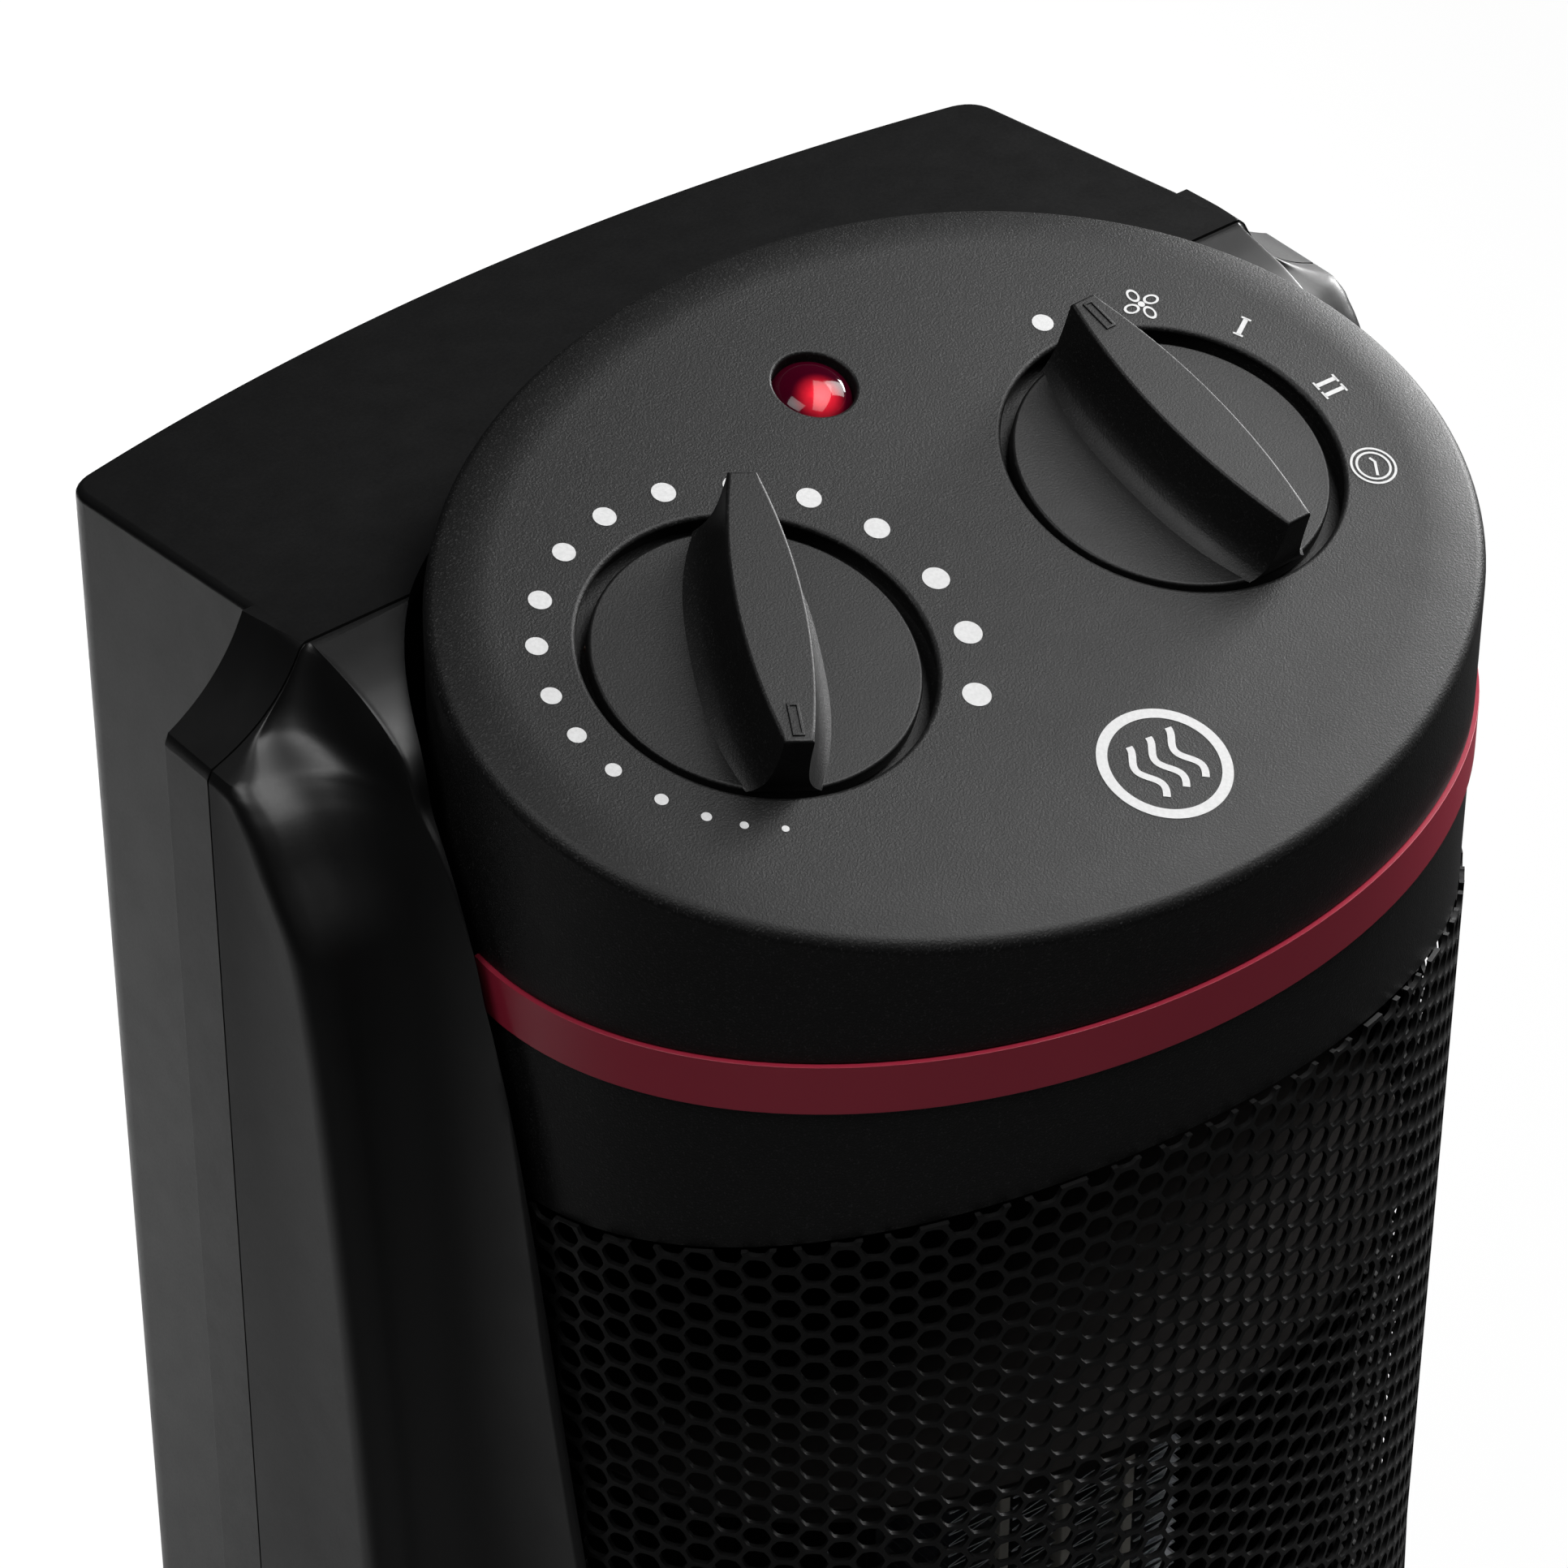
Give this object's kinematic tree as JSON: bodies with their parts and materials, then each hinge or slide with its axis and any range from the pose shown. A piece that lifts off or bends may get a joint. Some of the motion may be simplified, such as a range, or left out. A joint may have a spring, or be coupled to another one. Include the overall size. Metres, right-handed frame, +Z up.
{
  "type": "electric fan heater",
  "caption": "Tower ceramic fan heater: oval column with tilted control plate, thermostat and function knobs, honeycomb grille, cross-flow fan and round swivel base.",
  "frame": {"origin": "on the floor under the swivel axis, at the middle of the round base", "axes": "+Z up, -Y to the front with the grille, +X to the right of someone who faces the front, on the function knob side"},
  "size_m": [0.212, 0.212, 0.3998],
  "materials": {
    "housing_plastic": "fine satin texture",
    "cap_plastic": "fine sparkle grain",
    "stripe_plastic": "satin wine red",
    "knob_plastic": "satin",
    "grille_paint": "semi-gloss black",
    "lens_plastic": "polished red",
    "aluminium": "mill",
    "steel": "zinc plated",
    "lamination": "stacked sheets",
    "coil": "taped winding",
    "white_plastic": "natural",
    "ceramic": "ceramic stones in an insulating sleeve",
    "rubber": "matt",
    "brass": "turned",
    "phenolic": "moulded",
    "foam": "open mesh"
  },
  "bodies": {
    "base": {"base_cover": "housing_plastic", "base_plate": "housing_plastic", "foot_1": "rubber", "foot_2": "rubber", "foot_3": "rubber", "foot_4": "rubber", "base_screw_1": "steel", "base_screw_2": "steel", "base_screw_3": "steel", "base_screw_4": "steel", "swivel_bearing": "white_plastic", "swivel_motor": "steel", "cord_gland": "rubber", "tip_switch_body": "phenolic"},
    "crank": {"swivel_crank": "white_plastic"},
    "plunger": {"tip_plunger": "white_plastic"},
    "fan": {"fan_wheel": "aluminium", "motor_rotor": "steel"},
    "thermostat": {"thermostat_knob": "knob_plastic", "thermostat_shaft": "brass"},
    "selector": {"selector_knob": "knob_plastic", "selector_shaft": "brass"},
    "tower": {"rear_shell": "housing_plastic", "front_shell": "housing_plastic", "intake_grille": "housing_plastic", "tower_floor": "housing_plastic", "dust_filter": "foam", "control_cap": "cap_plastic", "grille_collar": "cap_plastic", "accent_stripe": "stripe_plastic", "front_grille": "grille_paint", "flange_screw_1": "steel", "flange_screw_2": "steel", "flange_screw_3": "steel", "flange_screw_4": "steel", "swivel_yoke": "steel", "motor_bracket_lower": "steel", "motor_bracket_upper": "steel", "thermal_cutout": "steel", "fan_top_bush": "rubber", "pilot_lamp_holder": "white_plastic", "element_cap_lower": "phenolic", "element_cap_upper": "phenolic", "thermostat_body": "phenolic", "selector_body": "phenolic", "duct_floor": "aluminium", "duct_ceiling": "aluminium", "fan_scroll": "aluminium", "fan_tongue": "aluminium", "fin_bank_1": "aluminium", "fin_bank_2": "aluminium", "fin_bank_3": "aluminium", "fin_bank_4": "aluminium", "motor_stator": "lamination", "motor_coil": "coil", "heat_strip_1": "ceramic", "heat_strip_2": "ceramic", "heat_strip_3": "ceramic", "pilot_lens": "lens_plastic"}
  },
  "joints": [
    {"name": "tower_swivel", "type": "hinge", "parent": "base", "child": "tower", "pos_m": [0, 0, 0.03], "axis": [0, 0, 1], "range_deg": [-30, 30]},
    {"name": "crank_turn", "type": "hinge", "parent": "base", "child": "crank", "pos_m": [0, -0.045, 0.022], "axis": [0, 0, 1], "range_deg": [-90, 90]},
    {"name": "tip_plunger_slide", "type": "slide", "parent": "base", "child": "plunger", "axis": [0, 0, 1], "range_m": [-0.005, 0], "stiffness_N_per_m": 60, "springref_m": -0.008},
    {"name": "fan_spin", "type": "hinge", "parent": "tower", "child": "fan", "pos_m": [0, 0.013, 0.187], "axis": [0, 0, 1], "continuous": true},
    {"name": "thermostat_turn", "type": "hinge", "parent": "tower", "child": "thermostat", "pos_m": [-0.0353, -0.02127, 0.38251], "axis": [0, -0.2748, 0.9615], "range_deg": [-282.6, 0]},
    {"name": "selector_turn", "type": "hinge", "parent": "tower", "child": "selector", "pos_m": [0.0353, -0.02127, 0.38251], "axis": [0, -0.2748, 0.9615], "range_deg": [-123, 0]}
  ],
  "couplings": [
    {"joint": "crank_turn", "follows": "tower_swivel", "ratio": 3}
  ]
}
